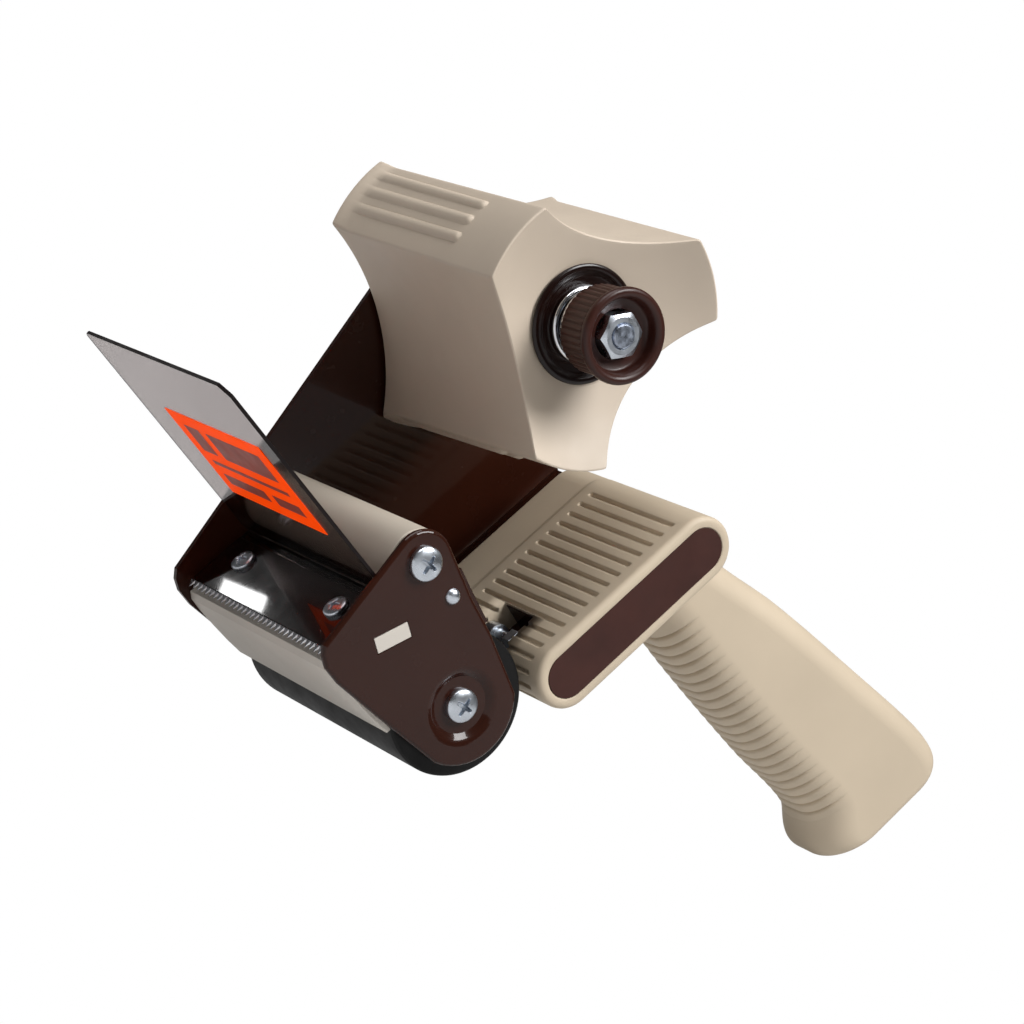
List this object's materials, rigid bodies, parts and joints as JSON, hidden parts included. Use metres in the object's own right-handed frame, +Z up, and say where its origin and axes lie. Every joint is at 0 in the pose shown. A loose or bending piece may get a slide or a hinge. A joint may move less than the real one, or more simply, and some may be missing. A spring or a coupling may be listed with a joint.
{
  "type": "tape dispenser",
  "caption": "Hand-held packing tape dispenser with a three-lobed hub, brake knob, guide roller, rubber roller, toothed blade, flap and pistol grip.",
  "frame": {"origin": "on the floor under the middle of the dispenser as it rests on its rubber roller and the toe of its grip", "axes": "+X from the rollers towards the butt of the grip, +Y towards the side plate, +Z up; all axles run along Y"},
  "size_m": [0.287, 0.0944, 0.1537],
  "materials": {
    "frame_paint": "glossy dark red-brown enamel on sheet steel",
    "blade_steel": "dark enamelled spring steel with bright ground teeth",
    "zinc": "bright zinc plating",
    "chrome": "polished",
    "beige_plastic": "satin moulded, light tan",
    "brown_plastic": "semi-gloss moulded, dark red-brown",
    "smoky_sheet": "clear grey-tinted flexible sheet",
    "orange_label": "printed film, fluorescent orange",
    "rubber": "matt black",
    "nylon": "natural"
  },
  "bodies": {
    "frame": {"side_frame": "frame_paint", "blade_bed": "frame_paint", "cutting_blade": "blade_steel", "blade_screws": "zinc", "flap_foot": "smoky_sheet", "tape_guide": "beige_plastic", "upper_axle": "zinc", "lower_axle": "zinc", "upper_axle_screws": "zinc", "lower_axle_screws": "zinc", "roller_washers": "nylon", "hub_bolt": "zinc", "bolt_washer": "zinc", "lock_nut": "zinc", "brake_disc": "brown_plastic", "brake_spring": "chrome", "handle": "beige_plastic", "label_plate": "brown_plastic", "handle_screws": "zinc", "tang_bolt": "zinc", "tang_nut": "zinc"},
    "hub": {"core_hub": "beige_plastic", "hub_bushing": "nylon"},
    "guide_roller": {"guide_roller": "beige_plastic"},
    "application_roller": {"roller_core": "beige_plastic", "rubber_sleeve": "rubber"},
    "flap": {"flap_leaf": "smoky_sheet", "flap_label": "orange_label"},
    "thrust_washer": {"thrust_washer": "zinc"},
    "knob": {"knob": "brown_plastic", "knob_nut": "zinc"}
  },
  "joints": [
    {"name": "hub_spin", "type": "hinge", "parent": "frame", "child": "hub", "pos_m": [-0.04524, 0.0012, 0.12069], "axis": [0, 1, 0], "continuous": true},
    {"name": "guide_roller_spin", "type": "hinge", "parent": "frame", "child": "guide_roller", "pos_m": [-0.07484, 0.0012, 0.0513], "axis": [0, 1, 0], "continuous": true},
    {"name": "application_roller_spin", "type": "hinge", "parent": "frame", "child": "application_roller", "pos_m": [-0.0492, 0.0012, 0.0195], "axis": [0, 1, 0], "continuous": true},
    {"name": "flap_bend", "type": "hinge", "parent": "frame", "child": "flap", "pos_m": [-0.07823, 0.0012, 0.04029], "axis": [0, 1, 0], "range_deg": [-50, 24], "stiffness_Nm_per_rad": 0.3},
    {"name": "knob_feed", "type": "slide", "parent": "frame", "child": "thrust_washer", "axis": [0, 1, 0], "range_m": [-0.00254, 0.00127], "deforming": ["brake_spring"]},
    {"name": "knob_turn", "type": "hinge", "parent": "thrust_washer", "child": "knob", "pos_m": [-0.04524, 0.0012, 0.12069], "axis": [0, 1, 0], "range_deg": [-725, 365]}
  ],
  "couplings": [
    {"joint": "knob_turn", "follows": "knob_feed", "rad_per_m": 4947.4}
  ]
}
